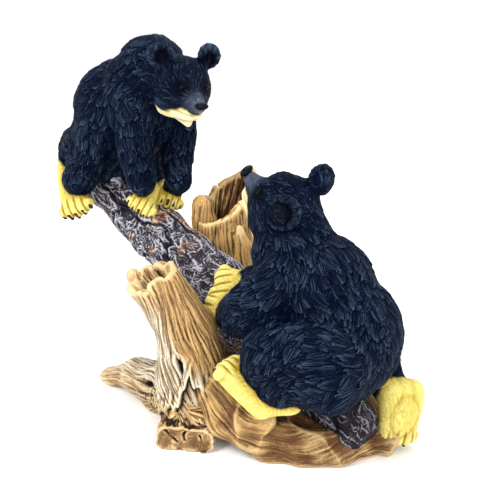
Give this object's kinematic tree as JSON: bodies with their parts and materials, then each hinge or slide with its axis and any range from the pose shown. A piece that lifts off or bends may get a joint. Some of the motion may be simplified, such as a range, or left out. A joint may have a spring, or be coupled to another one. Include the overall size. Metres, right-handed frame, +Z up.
{
  "type": "bears on seesaw statue",
  "caption": "Cast resin figurine: a black bear on the high end of a tilted log looks down at a bear that hugs the low end, with the log held between broken stumps on a rooty base.",
  "frame": {"origin": "on the flat underside, straight below the middle of the base", "axes": "+X along the log towards its low end, +Y to the side away from the viewer of the picture, +Z up"},
  "size_m": [0.232, 0.1163, 0.191],
  "materials": {
    "painted_resin": "hand-painted cast resin: blue-black fur with grey highlights, cream paws, charcoal bark and golden brown wood, mostly matt"
  },
  "bodies": {
    "root": {"bears_on_seesaw": "painted_resin"}
  },
  "joints": []
}
